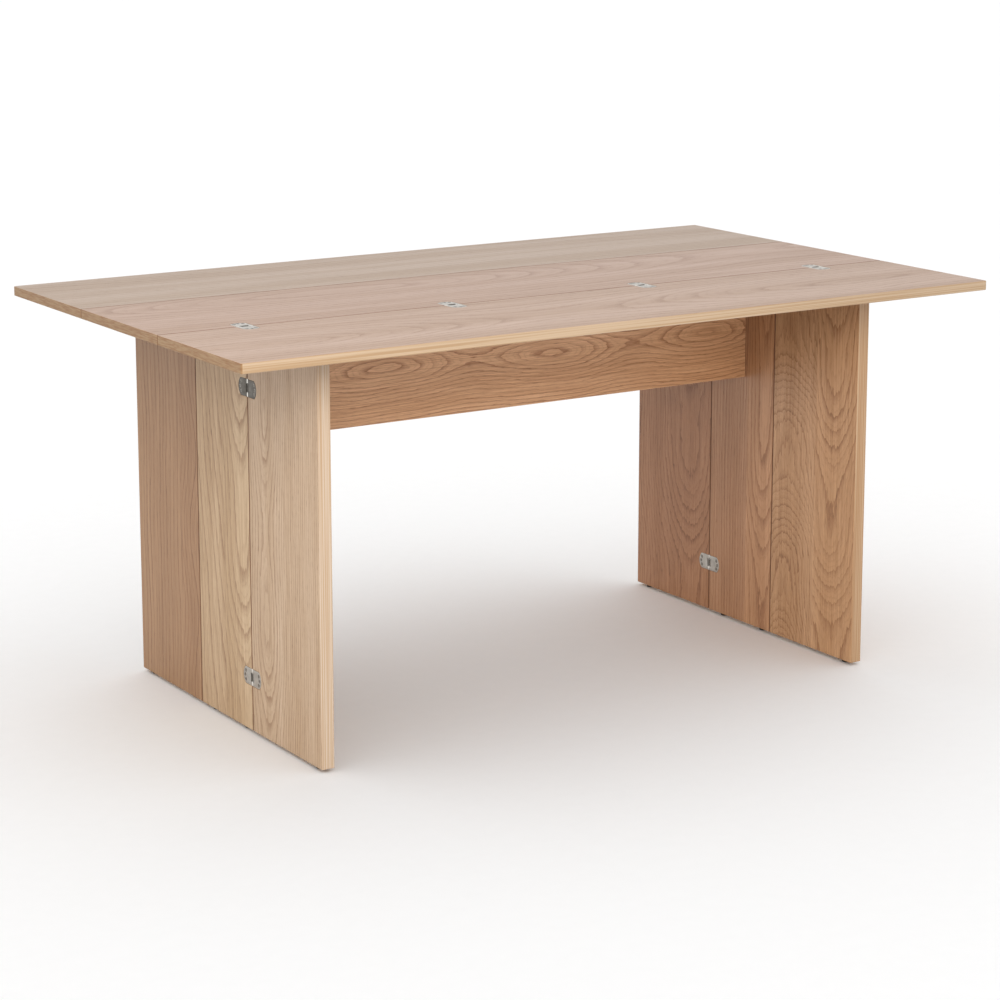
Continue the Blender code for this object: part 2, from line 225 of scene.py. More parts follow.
@dataclass(frozen=True)
class OakVeneer:
    """Flat-sawn European oak veneer, sanded and sealed with a clear matt lacquer.

    The earlywood of each ring is a band of open pores that reads as a darker line with a sharp outer
    edge. The lacquer leaves the pores open, so the sheen is soft and the lines can be felt. The other
    colours are filters over a strip's own tone.
    """

    name: str
    cut: Cut
    strips: tuple[Strip, ...]
    seams: tuple[tuple[int, float], ...] = ()
    seed: float = 0.0
    contrast: float = 0.8
    streak: str = "efe9e0"
    early: str = "cbb9ab"
    fibre: str = "e8e4df"
    pore: str = "a29389"
    # A filter that paints the shade of a seam's narrow gap along the face's last millimetre.
    seam_shade: str = "a58b74"
    edge: str = "e9cfb0"
    edge_line: str = "e6d3bb"
    end: str = "c9a87f"
    end_fleck: str = "e2cdb2"
    # The edges that face a seam: the raw edge's colour, darkened as painted shade of the narrow gap.
    raw_edge_and_gap_shade: str = "6e4c33"
    roughness: float = 0.46

    # Lengths along and across the grain, in millimetres: how the rings wander and how their edges fray,
    # and the size of a streak of colour, a fibre and a pore.
    WANDER_MM = (420, 150)
    JAG_MM = (34, 6.5)
    STREAK_MM = (1500, 60)
    FIBRE_MM = (130, 2.0)
    PORE_MM = (15, 0.9)
    # From full to no painted seam shade, measured from the seam's edge.
    SEAM_SHADE_MM = (0.6, 1.8)
    EDGE_FLECK_MM = 420.0
    END_FLECK_MM = 26.0
    # A board's two faces are sheets this far apart in the noise, which is drawn out through the board.
    FACE_LAYER = 300.0
    LAYER_SCALE = 0.05
    # A ring's line, as parts of the ring, and how strong poor and faint years are beside the best.
    LINE_START = 0.06
    LINE_END = 0.46
    POOR_YEAR = 0.35
    FAINT_YEAR = 0.26
    # How many of the pores show in late wood and in early wood.
    PORE_SHARE = (0.12, 0.62)

    def material(self) -> bpy.types.Material:
        """Builds the veneer's material.

        Returns:
            The material.
        """
        made, tree, shader = new_material(self.name)
        place = add_node(tree, "ShaderNodeTexCoord", output="Object")
        place_mm = add_node(tree, "ShaderNodeVectorMath", {0: place, "Scale": 1 / MM}, operation="SCALE")
        axes = add_node(tree, "ShaderNodeSeparateXYZ", [place_mm]).node.outputs
        turned = add_node(tree, "ShaderNodeSeparateXYZ", [place.node.outputs["Normal"]]).node.outputs
        along, across, depth = (axes[name] for name in self.cut.value)
        along_n, across_n, depth_n = (turned[name] for name in self.cut.value)

        side = compute(tree, "SIGN", depth_n)
        layer = compute(tree, "MULTIPLY_ADD", side, self.FACE_LAYER, self.seed)
        sheet = add_node(tree, "ShaderNodeCombineXYZ", [along, across, layer])
        colour, relief = self.face(tree, along, across, sheet)
        # Painted shade of the seam's gap, along the last millimetre of the face.
        for _, at in self.seams:
            colour = self.paint_seam_shade(tree, colour, across, at)

        long_edge = self.edging(tree, along, depth, (self.edge, self.edge_line), self.EDGE_FLECK_MM)
        short_edge = self.edging(tree, across, depth, (self.end, self.end_fleck), self.END_FLECK_MM)
        colour = self.where(tree, across_n, 0, colour, long_edge)
        # Faces that look into a seam take the raw edge's colour with painted shade of the gap.
        for way, _ in self.seams:
            colour = self.where(tree, across_n, way, colour, linear(self.raw_edge_and_gap_shade))
        colour = self.where(tree, along_n, 0, colour, short_edge)
        tree.links.new(colour, shader.inputs["Base Color"])

        dull = remap(tree, relief, (0.0, 1.0), (self.roughness + 0.12, self.roughness))
        tree.links.new(dull, shader.inputs["Roughness"])
        bump = {"Strength": 0.35, "Distance": 0.12 * MM, "Height": relief}
        tree.links.new(add_node(tree, "ShaderNodeBump", bump), shader.inputs["Normal"])
        return made

    def grain(self, tree: Tree, sheet: Socket, size_mm: tuple, detail: float = 2.0) -> Socket:
        """Noise drawn out along the grain.

        Args:
            tree: the material's node tree.
            sheet: the place on the sheet, in millimetres.
            size_mm: a fleck's length along the grain and its width.
            detail: how many finer layers the noise has.

        Returns:
            The noise, about 0.5 on average.
        """
        size = (1 / size_mm[0], 1 / size_mm[1], self.LAYER_SCALE)
        scaled = add_node(tree, "ShaderNodeVectorMath", [sheet, size], operation="MULTIPLY")
        return add_node(tree, "ShaderNodeTexNoise", {"Vector": scaled, "Scale": 1.0, "Detail": detail})

    def rings(self, tree: Tree, strip: Strip, along: Socket, across: Socket, sheet: Socket) -> Socket:
        """The earlywood lines of a strip's growth rings.

        Args:
            tree: the material's node tree.
            strip: the strip.
            along: the coordinate along the grain.
            across: the coordinate across the grain.
            sheet: both, with the sheet's own layer of noise.

        Returns:
            A mask, 1 in the open pores at a ring's start and 0 in its dense late wood.
        """
        wander = self.grain(tree, sheet, self.WANDER_MM)
        wander = compute(tree, "MULTIPLY_ADD", wander, 4 * strip.warp, -2 * strip.warp)
        aside = compute(tree, "SUBTRACT", across, strip.centre)
        aside = compute(tree, "ADD", aside, wander)

        turn = 2 * math.pi / strip.period
        swing = compute(tree, "MULTIPLY_ADD", along, turn, -turn * strip.phase)
        swing = compute(tree, "SINE", swing)
        behind = compute(tree, "MULTIPLY_ADD", along, strip.slope, strip.pith)
        behind = compute(tree, "MULTIPLY_ADD", swing, strip.swing, behind)

        spot = add_node(tree, "ShaderNodeCombineXYZ", [aside, behind])
        radius = add_node(tree, "ShaderNodeVectorMath", [spot], output="Value", operation="LENGTH")
        jag = self.grain(tree, sheet, self.JAG_MM, 3.0)
        radius = compute(tree, "MULTIPLY_ADD", jag, 2 * strip.jag, radius)
        count = compute(tree, "DIVIDE", radius, strip.ring)
        number = compute(tree, "FLOOR", count)
        year = add_node(tree, "ShaderNodeTexWhiteNoise", {"W": number}, noise_dimensions="1D")
        strength = remap(tree, year, (0.0, 1.0), (self.POOR_YEAR, 1.0))
        strong = compute(tree, "MULTIPLY", self.line(tree, count), strength)
        # Between the strong years run two fainter ones, a few millimetres apart.
        thirds = self.line(tree, compute(tree, "MULTIPLY", count, 3.0))
        return compute(tree, "MULTIPLY_ADD", thirds, self.FAINT_YEAR, strong, clamp=True)

    def line(self, tree: Tree, count: Socket) -> Socket:
        """A line with a sharp start and a slow fade in each whole step of a count.

        Args:
            tree: the material's node tree.
            count: the growing count.

        Returns:
            The line's strength, from 0 to 1.
        """
        part = compute(tree, "FRACT", count)
        onset = remap(tree, part, (0.0, self.LINE_START), (0.0, 1.0), "SMOOTHSTEP")
        fade = remap(tree, part, (self.LINE_START, self.LINE_END), (1.0, 0.0), "SMOOTHSTEP")
        return compute(tree, "MULTIPLY", onset, fade)

    def face(self, tree: Tree, along: Socket, across: Socket, sheet: Socket) -> tuple[Socket, Socket]:
        """The veneered face, with its strips side by side.

        Args:
            tree: the material's node tree.
            along: the coordinate along the grain.
            across: the coordinate across the grain.
            sheet: both, with the sheet's own layer of noise.

        Returns:
            Its colour, and its relief: 1 on smooth wood and 0 in a pore.
        """
        wood, rings = linear(self.strips[0].tone), self.rings(tree, self.strips[0], along, across, sheet)
        for before, strip in zip(self.strips, self.strips[1:]):
            past = compute(tree, "GREATER_THAN", across, before.until)
            wood = blend(tree, past, wood, linear(strip.tone))
            both = {0: past, 2: rings, 3: self.rings(tree, strip, along, across, sheet)}
            rings = add_node(tree, "ShaderNodeMix", both, data_type="FLOAT")
        # Colour runs along the log in streaks a hand's width across.
        streak = remap(tree, self.grain(tree, sheet, self.STREAK_MM, 3.0), (0.38, 0.62), (0.0, 1.0))
        wood = blend(tree, streak, wood, linear(self.streak), "MULTIPLY")
        share = compute(tree, "MULTIPLY", rings, self.contrast)
        wood = blend(tree, share, wood, linear(self.early), "MULTIPLY")
        # Fibres are drawn coarser than the real 0.2 mm so that they show from across a room.
        fibre = remap(tree, self.grain(tree, sheet, self.FIBRE_MM, 3.0), (0.3, 0.7), (0.0, 1.0))
        wood = blend(tree, fibre, wood, linear(self.fibre), "MULTIPLY")
        # Pores are cut lengthwise, as dashes, mostly in the earlywood.
        dash = remap(tree, self.grain(tree, sheet, self.PORE_MM, 1.0), (0.56, 0.66), (0.0, 1.0))
        dash = compute(tree, "MULTIPLY", dash, remap(tree, rings, (0.0, 1.0), self.PORE_SHARE))
        wood = blend(tree, dash, wood, linear(self.pore), "MULTIPLY")
        sunk = compute(tree, "MULTIPLY_ADD", rings, 0.35, dash)
        return wood, compute(tree, "SUBTRACT", 1.0, sunk, clamp=True)

    def paint_seam_shade(self, tree: Tree, colour: Socket, across: Socket, at: float) -> Socket:
        """Darkens the last millimetre of a face before a seam: painted shade of the narrow gap between the
        boards.

        Args:
            tree: the material's node tree.
            colour: the face's colour.
            across: the coordinate across the grain.
            at: where the seam is, in millimetres.

        Returns:
            The colour with the painted shade along the seam.
        """
        away = compute(tree, "SUBTRACT", across, at)
        away = compute(tree, "ABSOLUTE", away)
        share = remap(tree, away, self.SEAM_SHADE_MM, (0.9, 0.0))
        return blend(tree, share, colour, linear(self.seam_shade), "MULTIPLY")

    def edging(self, tree: Tree, along: Socket, depth: Socket, tints: tuple, fleck: float) -> Socket:
        """Solid oak edging, whose grain runs along the edge.

        Args:
            tree: the material's node tree.
            along: the coordinate along the edge.
            depth: the coordinate through the board's thickness.
            tints: its colour and the filter of its grain.
            fleck: the length of its grain, in millimetres.

        Returns:
            Its colour.
        """
        tone, line = (linear(tint) for tint in tints)
        strip = add_node(tree, "ShaderNodeCombineXYZ", [along, depth, self.seed])
        lines = remap(tree, self.grain(tree, strip, (fleck, 2.2), 1.5), (0.40, 0.60), (0.0, 1.0))
        return blend(tree, lines, tone, line, "MULTIPLY")

    def where(self, tree: Tree, normal: Socket, way: int, colour: Colour, other: Colour) -> Socket:
        """Takes the other colour where the surface faces along an axis.

        Args:
            tree: the material's node tree.
            normal: the surface normal's share along the axis.
            way: 1 or -1 for one way along the axis, or 0 for both.
            colour: the colour elsewhere.
            other: the colour there.

        Returns:
            The mixed colour.
        """
        facing = compute(tree, "MULTIPLY", normal, way) if way else compute(tree, "ABSOLUTE", normal)
        facing = compute(tree, "GREATER_THAN", facing, 0.5)
        return blend(tree, facing, colour, other)


@dataclass(frozen=True)
class Metal:
    """A plated metal with a fine skin, such as die-cast zinc plated with satin nickel."""

    name: str
    colour: str
    tarnish: str
    roughness: float
    grit_mm: float
    relief: float

    def material(self) -> bpy.types.Material:
        """Builds the metal's material: an even tone with a slight cloud, and a fine cast skin.

        Returns:
            The material.
        """
        made, tree, shader = new_material(self.name)
        shader.inputs["Metallic"].default_value = 1.0
        place = add_node(tree, "ShaderNodeTexCoord", output="Object")
        cloud = noise(tree, place, 9, 3.0)
        tone = blend(tree, cloud, linear(self.colour), linear(self.tarnish))
        tree.links.new(tone, shader.inputs["Base Color"])
        low, high = self.roughness - 0.06, self.roughness + 0.08
        dull = remap(tree, cloud, (0.3, 0.7), (low, high))
        tree.links.new(dull, shader.inputs["Roughness"])
        skin = noise(tree, place, self.grit_mm, 2.0)
        bump = {"Strength": self.relief, "Distance": 0.05 * MM, "Height": skin}
        tree.links.new(add_node(tree, "ShaderNodeBump", bump), shader.inputs["Normal"])
        return made


@dataclass(frozen=True)
class MouldedPlastic:
    """Black moulded polyethylene, as on a furniture glide: matt, with a spark-eroded texture."""

    name: str = "black_moulded_polyethylene"
    colour: str = "151515"
    worn: str = "2b2b2a"
    grit_mm: float = 0.5

    def material(self) -> bpy.types.Material:
        """Builds the plastic's material.

        Returns:
            The material.
        """
        made, tree, shader = new_material(self.name)
        shader.inputs["Roughness"].default_value = 0.55
        place = add_node(tree, "ShaderNodeTexCoord", output="Object")
        grit = noise(tree, place, self.grit_mm, 2.0)
        tone = blend(tree, grit, linear(self.colour), linear(self.worn))
        tree.links.new(tone, shader.inputs["Base Color"])
        bump = {"Strength": 0.4, "Distance": 0.05 * MM, "Height": grit}
        tree.links.new(add_node(tree, "ShaderNodeBump", bump), shader.inputs["Normal"])
        return made


SATIN_NICKEL = Metal("satin_nickel_on_zinc", "c6c1b9", "a09b93", 0.34, 0.8, 0.25)
# A darker copy of the satin nickel: painted shade and dark reflection for the hinges under the top.
NICKEL_WITH_PAINTED_SHADE = Metal("nickel_on_zinc_with_painted_shade", "6f6a62", "55514b", 0.36, 0.8, 0.25)
SCREW_STEEL = Metal("zinc_plated_screw_steel", "9b968e", "7d7871", 0.28, 0.4, 0.15)
# A darker copy of the nickel: painted shade of the gap round each plate and of the recesses in plates, links
# and screws.
NICKEL_WITH_PAINTED_GAP_SHADE = Metal("nickel_on_zinc_with_painted_gap_shade", "6a655e", "4f4b45", 0.45, 0.8, 0.35)
# A near-white copy of the nickel: a painted highlight on the chamfers along the seam.
NICKEL_WITH_PAINTED_HIGHLIGHT = Metal("nickel_on_zinc_with_painted_highlight", "f0ede6", "dedad2", 0.22, 0.8, 0.10)
PRESSED_STEEL = Metal("zinc_plated_pressed_steel", "c9c9c6", "a8a8a6", 0.32, 1.2, 0.20)


class Workpiece:
    """A mesh on the bench: it starts as a primitive, is shaped in edit mode and finished with modifiers."""

    def __init__(self, name: str, primitive: Callable, scale: tuple = (1.0, 1.0, 1.0), **size) -> None:
        """Adds the primitive.

        Args:
            name: the piece's name.
            primitive: the operator that adds it.
            scale: how it is stretched along each of its own axes.
            **size: the operator's settings.
        """
        bpy.ops.object.select_all(action="DESELECT")
        primitive(**size)
        self.obj = bpy.context.object
        self.obj.name = name
        self.obj.scale = scale
        bpy.ops.object.transform_apply(location=True, rotation=True, scale=True)

    def pick(self, kind: str, test: Callable) -> None:
        """Selects in edit mode what passes a test.

        Args:
            kind: "VERT", "EDGE" or "FACE".
            test: takes a bmesh element and says whether it is wanted.
        """
        bpy.context.view_layer.objects.active = self.obj
        bpy.ops.object.mode_set(mode="EDIT")
        bpy.ops.mesh.select_mode(type=kind)
        bpy.ops.mesh.select_all(action="DESELECT")
        mesh = bmesh.from_edit_mesh(self.obj.data)
        elements = {"VERT": mesh.verts, "EDGE": mesh.edges, "FACE": mesh.faces}[kind]
        for element in [e for e in elements if test(e)]:
            element.select_set(True)
        bmesh.update_edit_mesh(self.obj.data)

    def done(self) -> None:
        """Leaves edit mode."""
        bpy.ops.object.mode_set(mode="OBJECT")

    def modify(self, kind: str, **settings) -> None:
        """Adds a modifier with its settings, and applies it."""
        bpy.context.view_layer.objects.active = self.obj
        modifier = self.obj.modifiers.new(kind.lower(), kind)
        for name, value in settings.items():
            setattr(modifier, name, value)
        bpy.ops.object.modifier_apply(modifier=modifier.name)

    def combine(self, other: "Workpiece", operation: str) -> None:
        """Cuts the other piece away, or joins it, and removes it.

        Args:
            other: the piece that cuts or is joined.
            operation: "DIFFERENCE" or "UNION".
        """
        self.modify("BOOLEAN", operation=operation, solver="EXACT", object=other.obj)
        bpy.data.objects.remove(other.obj)

    def ease(self, width: float) -> None:
        """Takes the sharpness off the piece's edges, by a bevel of the given width."""
        self.modify("BEVEL", width=width, segments=2, limit_method="ANGLE", angle_limit=math.radians(50))

    def smooth(self, degrees: float = 35.0) -> None:
        """Shades the round parts smooth and keeps the sharp edges."""
        bpy.ops.object.select_all(action="DESELECT")
        self.obj.select_set(True)
        bpy.context.view_layer.objects.active = self.obj
        bpy.ops.object.shade_smooth_by_angle(angle=math.radians(degrees))

    def placed(self, name: str, places: list[Matrix], *materials: bpy.types.Material) -> bpy.types.Object:
        """Copies the piece to one or more places, as one object with a mesh of its own.

        Args:
            name: the new object's name.
            places: where each copy stands.
            *materials: its materials, in the order that the piece's faces name them.

        Returns:
            The new object, at the origin, with its place in its mesh.
        """
        whole = bmesh.new()
        for place in places:
            start = len(whole.verts)
            whole.from_mesh(self.obj.data)
            whole.verts.ensure_lookup_table()
            bmesh.ops.transform(whole, matrix=place, verts=whole.verts[start:])
        mesh = bpy.data.meshes.new(name)
        whole.to_mesh(mesh)
        whole.free()
        for material in materials:
            mesh.materials.append(material)
        made = bpy.data.objects.new(name, mesh)
        bpy.context.scene.collection.objects.link(made)
        return made


class Seam(Enum):
    """The hinged seams: the body that folds, the way across the seam to it, the way out of the face."""

    FRONT_LEAF = ("front_leaf", (0, -1, 0), (0, 0, 1))
    REAR_LEAF = ("rear_leaf", (0, 1, 0), (0, 0, -1))
    LEFT_FRONT = ("left_front_leg", (0, -1, 0), (-1, 0, 0))
    RIGHT_FRONT = ("right_front_leg", (0, -1, 0), (1, 0, 0))
    LEFT_REAR = ("left_rear_leg", (0, 1, 0), (1, 0, 0))
    RIGHT_REAR = ("right_rear_leg", (0, 1, 0), (-1, 0, 0))

    def hinges(self) -> tuple[str, ...]:
        """The names of the seam's hinges."""
        return ("1", "2", "3", "4") if "leaf" in self.value[0] else ("top", "bottom")

    def place(self, hinge: str) -> Matrix:
        """Where a hinge stands, with X across the seam, Y along it and Z out of the face.

        Args:
            hinge: the hinge's name.

        Returns:
            The hinge's frame.
        """
        name, across, outward = self.value
        node = f"{name}_hinge_{hinge}"
        folds = self is not Seam.REAR_LEAF
        low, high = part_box(f"{node}_link" if folds else node)
        face_low, face_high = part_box(f"{node}_fixed_plate" if folds else node)
        u, w = Vector(across), Vector(outward)
        centre = (low + high) / 2
        centre += w * (max(face_low.dot(w), face_high.dot(w)) - centre.dot(w))
        return Matrix.Translation(centre) @ Matrix((u, w.cross(u), w)).transposed().to_4x4()


@dataclass
class FlushHinges:
    """The link hinges: two castings with bowed ends, a link on two pins between them, and six screws."""

    half_length: float = 34.0 * MM
    width: float = 32.0 * MM
    bulge: float = 8.0 * MM
    thickness: float = 5.95 * MM
    seam_gap: float = 0.6 * MM
    seam_bevel: float = 1.2 * MM
    rim: float = 0.55 * MM
    pin_from_seam: float = 3.0 * MM
    pin_depth: float = 2.35 * MM
    pin_radius: float = 1.2 * MM
    link_half: float = 8.0 * MM
    link_radius: float = 2.0 * MM
    clearance: float = 0.35 * MM
    head_radius: float = 3.4 * MM
    head_depth: float = 2.2 * MM
    shank_radius: float = 1.5 * MM
    screw_length: float = 12.0 * MM
    screw_turns: tuple[float, ...] = (-38.0, 0.0, 38.0)
    screw_inset: float = 6.4 * MM
    finishes: dict[str, bpy.types.Material] = field(default_factory=dict)

    @property
    def end_radius(self) -> float:
        """The radius of a plate's bowed end."""
        return ((self.width / 2) ** 2 + self.bulge**2) / (2 * self.bulge)

    def screw_places(self) -> list[Matrix]:
        """Where the three screws of a plate stand, on an arc inside its bowed end.

        Returns:
            The screws' frames, with Z out of the face.
        """
        centre, reach = self.half_length - self.end_radius, self.end_radius - self.screw_inset
        spots = [(math.radians(turn), turn) for turn in self.screw_turns]
        return [
            Matrix.Translation((centre + reach * math.cos(a), reach * math.sin(a), 0))
            @ Matrix.Rotation(math.radians(17 + 2 * turn), 4, "Z")
            for a, turn in spots
        ]

    def countersink(self) -> Workpiece:
        """The cutter for a screw's hole: a cone for the head on a hole for the shank.

        Returns:
            The cutter.
        """
        slack, over = 0.15 * MM, 0.2 * MM
        mouth = self.head_radius + slack
        hole = Workpiece(
            "countersink", bpy.ops.mesh.primitive_cone_add, vertices=40, radius1=self.shank_radius + slack,
            radius2=mouth + over, depth=self.head_depth + over, location=(0, 0, (over - self.head_depth) / 2),
        )
        shank = Workpiece(
            "shank_hole", bpy.ops.mesh.primitive_cylinder_add, vertices=24, radius=self.shank_radius + slack,
            depth=2 * self.thickness, location=(0, 0, -self.thickness),
        )
        hole.combine(shank, "UNION")
        return hole

    def casting(self) -> Workpiece:
        """One plate, on the +X side of the seam, with its rim, its countersinks and the link's pocket.

        Returns:
            The plate.
        """
        meet = self.half_length - self.bulge
        plate = Workpiece(
            "plate", bpy.ops.mesh.primitive_cylinder_add, vertices=72, radius=self.end_radius,
            depth=self.thickness, location=(self.half_length - self.end_radius, 0, -self.thickness / 2),
        )
        plate.pick("FACE", lambda face: True)
        bpy.ops.mesh.bisect(plane_co=(meet, 0, 0), plane_no=(1, 0, 0), use_fill=True, clear_inner=True)
        plate.pick("FACE", lambda face: face.normal.x < -FACING)
        move = {"value": (self.seam_gap - meet, 0, 0)}
        bpy.ops.mesh.extrude_region_move(TRANSFORM_OT_translate=move)
        wide = 0.9 * self.width
        plate.pick("EDGE", lambda edge: edge.calc_length() > wide and edge.verts[0].co.x > meet - TOUCHING)
        bpy.ops.mesh.dissolve_edges(use_verts=False)
        plate.pick("FACE", lambda face: True)
        chamfer = (self.seam_gap + self.seam_bevel, 0, 0)
        bpy.ops.mesh.bisect(plane_co=chamfer, plane_no=(1, 0, -1), use_fill=True, clear_inner=True)
        plate.done()
        hole = self.countersink()
        for place in self.screw_places():
            copy = Workpiece("hole", bpy.ops.mesh.primitive_plane_add)
            copy.obj.data = hole.obj.data.copy()
            copy.obj.data.transform(place)
            plate.combine(copy, "DIFFERENCE")
        bpy.data.objects.remove(hole.obj)
        self.cut_pocket(plate)
        plate.pick("EDGE", self.on_rim)
        bpy.ops.mesh.bevel(offset=self.rim, segments=3)
        plate.done()
        plate.ease(0.18 * MM)
        plate.smooth()
        return plate

    def on_rim(self, edge: bmesh.types.BMEdge) -> bool:
        """Whether an edge runs round the plate's face on its outline, other than at the seam.

        Args:
            edge: the edge.

        Returns:
            Whether it does.
        """
        if min(v.co.z for v in edge.verts) < -TOUCHING or edge.is_boundary:
            return False
        centre = Vector((self.half_length - self.end_radius, 0))
        near = 0.1 * MM
        side = all(abs(v.co.y) > self.width / 2 - near for v in edge.verts)
        bowed = all((v.co.xy - centre).length > self.end_radius - near for v in edge.verts)
        return side or bowed

    def cut_pocket(self, plate: Workpiece) -> None:
        """Cuts the pocket that the link turns in, with a hole for its pin in either cheek.

        Args:
            plate: the plate.
        """
        reach = self.pin_from_seam + self.link_radius + self.clearance
        half = self.link_half + self.clearance
        floor = self.pin_depth + self.link_radius + self.clearance
        pocket = Workpiece(
            "pocket", bpy.ops.mesh.primitive_cube_add, size=1.0,
            location=(0, 0, (self.pin_depth - floor) / 2),
            scale=(2 * reach, 2 * half, floor + self.pin_depth),
        )
        plate.combine(pocket, "DIFFERENCE")
        pin_hole = Workpiece(
            "pin_hole", bpy.ops.mesh.primitive_cylinder_add, vertices=24, radius=self.pin_radius + 0.15 * MM,
            depth=2 * (self.link_half + 3.6 * MM), location=(self.pin_from_seam, 0, -self.pin_depth),
            rotation=(math.pi / 2, 0, 0),
        )
        plate.combine(pin_hole, "DIFFERENCE")

    def link(self) -> Workpiece:
        """The link: a bar round at both ends, with a shallow groove down its back and two pins.

        Returns:
            The link.
        """
        bar = Workpiece(
            "link", bpy.ops.mesh.primitive_cube_add, size=1.0, location=(0, 0, -self.pin_depth),
            scale=(2 * (self.pin_from_seam + self.link_radius), 2 * self.link_half, 2 * self.link_radius),
        )
        bar.pick("EDGE", lambda edge: abs(edge.verts[0].co.y - edge.verts[1].co.y) > self.link_half)
        bpy.ops.mesh.bevel(offset=self.link_radius * 0.96, segments=6)
        bar.pick("FACE", lambda face: face.normal.z > FACING)
        bpy.ops.mesh.inset(thickness=1.5 * MM)
        bpy.ops.mesh.extrude_region_move(TRANSFORM_OT_translate={"value": (0, 0, -0.35 * MM)})
        bar.done()
        for side in (-1, 1):
            pin = Workpiece(
                "pin", bpy.ops.mesh.primitive_cylinder_add, vertices=24, radius=self.pin_radius,
                depth=2 * (self.link_half + 3.3 * MM), rotation=(math.pi / 2, 0, 0),
                location=(side * self.pin_from_seam, 0, -self.pin_depth),
            )
            bar.combine(pin, "UNION")
        bar.ease(0.15 * MM)
        bar.smooth()
        return bar

    def screw(self) -> Workpiece:
        """A countersunk screw with a cross recess, its head just under the plate's face.

        Returns:
            The screw.
        """
        top = 0.15 * MM
        head = Workpiece(
            "screw", bpy.ops.mesh.primitive_cone_add, vertices=32, radius1=self.shank_radius,
            radius2=self.head_radius, depth=self.head_depth - top,
            location=(0, 0, -(self.head_depth + top) / 2),
        )
        head.pick("EDGE", lambda edge: all(v.co.z > -top - TOUCHING for v in edge.verts))
        bpy.ops.mesh.bevel(offset=0.25 * MM, segments=2)
        head.pick("FACE", lambda face: face.normal.z < -FACING)
        down = {"value": (0, 0, self.head_depth - self.screw_length)}
        bpy.ops.mesh.extrude_region_move(TRANSFORM_OT_translate=down)
        bpy.ops.transform.resize(value=(0.35, 0.35, 1.0))
        head.done()
        for turn in (0.0, math.pi / 2):
            blade = Workpiece(
                "blade", bpy.ops.mesh.primitive_cube_add, size=1.0, location=(0, 0, -top),
                scale=(1.45 * self.head_radius, 0.9 * MM, 2.4 * MM), rotation=(0, 0, turn),
            )
            blade.pick("FACE", lambda face: face.normal.z < -FACING)
            bpy.ops.transform.resize(value=(0.45, 0.45, 1.0), center_override=(0, 0, 0))
            blade.done()
            head.combine(blade, "DIFFERENCE")
        head.smooth()
        return head

    def mark_painted_shade_and_highlight(self, piece: Workpiece, level: float) -> None:
        """Sets each face's material: 0 the flat face, 1 deeper faces in painted shade, 2 the seam's chamfer
        in a painted highlight.

        Args:
            piece: the casting, link or screw.
            level: how deep the flat face lies.
        """
        slope = Vector((-1, 0, 1)).normalized()
        for face in piece.obj.data.polygons:
            flat = face.normal.z > 0.9 and face.center.z > level - 0.05 * MM
            chamfer = face.normal.dot(slope) > 0.97 and face.center.x < self.seam_gap + self.seam_bevel
            face.material_index = 0 if flat else 2 if chamfer else 1

    def build(self) -> None:
        """Models one hinge's pieces and sets a copy of each at every hinge."""
        casting, link, screw = self.casting(), self.link(), self.screw()
        self.mark_painted_shade_and_highlight(casting, 0.0)
        self.mark_painted_shade_and_highlight(link, self.link_radius - self.pin_depth)
        self.mark_painted_shade_and_highlight(screw, -0.15 * MM)
        # The rim finish is a darker nickel, painted shade of the gaps and recesses; the bright one is a
        # painted highlight on the seam chamfers.
        rim, painted_highlight = self.finishes["rim"], self.finishes["painted_highlight"]
        half_turn = Matrix.Rotation(math.pi, 4, "Z")
        for seam in Seam:
            name = seam.value[0]
            folds = seam is not Seam.REAR_LEAF
            moving_body, link_body = (name, f"{name}_links") if folds else ("stand", "stand")
            for hinge in seam.hinges():
                node, place = f"{name}_hinge_{hinge}", seam.place(hinge)
                # The top hinges of the front legs take a darker copy of the nickel, as painted shade and dark
                # reflection under the top.
                in_painted_shade = hinge == "top" and "front" in name
                zinc = self.finishes["in_painted_shade" if in_painted_shade else "nickel"]
                steel = self.finishes["screw"]
                made = {}
                sides = (("moving", place, moving_body), ("fixed", place @ half_turn, "stand"))
                for side, side_place, body in sides:
                    made[side] = casting.placed(f"{node}_{side}_casting", [side_place], zinc, rim, painted_highlight)
                    spots = [side_place @ spot for spot in self.screw_places()]
                    screws = screw.placed(f"{node}_{side}_screws", spots, steel, rim)
                    for piece in (made[side], screws):
                        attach(piece, body)
                made["link"] = link.placed(f"{node}_link_bar", [place], zinc, rim)
                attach(made["link"], link_body)
                if folds:
                    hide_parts(f"{node}_moving_plate")
                    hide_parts(f"{node}_fixed_plate")
                    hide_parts(f"{node}_link")
                else:
                    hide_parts(node)
                LOG.info("hinge %s", node)
        for master in (casting, link, screw):
            bpy.data.objects.remove(master.obj)


